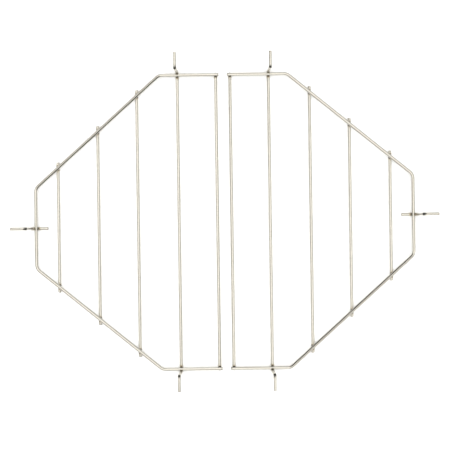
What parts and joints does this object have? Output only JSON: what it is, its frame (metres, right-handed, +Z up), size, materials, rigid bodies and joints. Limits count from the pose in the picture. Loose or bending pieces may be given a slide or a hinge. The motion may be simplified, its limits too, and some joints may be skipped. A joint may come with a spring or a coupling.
{
  "type": "grill firebox rack pair",
  "caption": "Pair of half-oval wire racks with bent-up hanger tips that hook over a firebox rim and carry a heat deflector or drip pan.",
  "frame": {"origin": "midway between the two racks, on the surface that the cross wires lie on", "axes": "+X from the left rack to the right rack, +Y along the cross wires, +Z up, the way the hanger tips stand"},
  "size_m": [0.5764, 0.4564, 0.0495],
  "materials": {
    "bright_drawn_steel": "bright-drawn stainless steel wire, satin, slightly warm",
    "weld_metal": "resistance weld, matt, a little darker than the wire"
  },
  "bodies": {
    "left_rack": {"left_frame": "bright_drawn_steel", "left_end_rod": "bright_drawn_steel", "left_hanger_rod": "bright_drawn_steel", "left_side_hanger": "bright_drawn_steel", "left_cross_rod_1": "bright_drawn_steel", "left_cross_rod_2": "bright_drawn_steel", "left_cross_rod_3": "bright_drawn_steel", "left_weld_end_rod_front": "weld_metal", "left_weld_end_rod_back": "weld_metal", "left_weld_hanger_rod_front": "weld_metal", "left_weld_hanger_rod_back": "weld_metal", "left_weld_cross_rod_1_front": "weld_metal", "left_weld_cross_rod_1_back": "weld_metal", "left_weld_cross_rod_2_front": "weld_metal", "left_weld_cross_rod_2_back": "weld_metal", "left_weld_cross_rod_3_front": "weld_metal", "left_weld_cross_rod_3_back": "weld_metal", "left_weld_side_hanger": "weld_metal"},
    "right_rack": {"right_frame": "bright_drawn_steel", "right_end_rod": "bright_drawn_steel", "right_hanger_rod": "bright_drawn_steel", "right_side_hanger": "bright_drawn_steel", "right_cross_rod_1": "bright_drawn_steel", "right_cross_rod_2": "bright_drawn_steel", "right_cross_rod_3": "bright_drawn_steel", "right_weld_end_rod_front": "weld_metal", "right_weld_end_rod_back": "weld_metal", "right_weld_hanger_rod_front": "weld_metal", "right_weld_hanger_rod_back": "weld_metal", "right_weld_cross_rod_1_front": "weld_metal", "right_weld_cross_rod_1_back": "weld_metal", "right_weld_cross_rod_2_front": "weld_metal", "right_weld_cross_rod_2_back": "weld_metal", "right_weld_cross_rod_3_front": "weld_metal", "right_weld_cross_rod_3_back": "weld_metal", "right_weld_side_hanger": "weld_metal"}
  },
  "joints": [
    {"name": "right_rack_lift", "type": "slide", "parent": "left_rack", "child": "right_rack", "axis": [0, 0, 1], "range_m": [0, 0.1]}
  ]
}
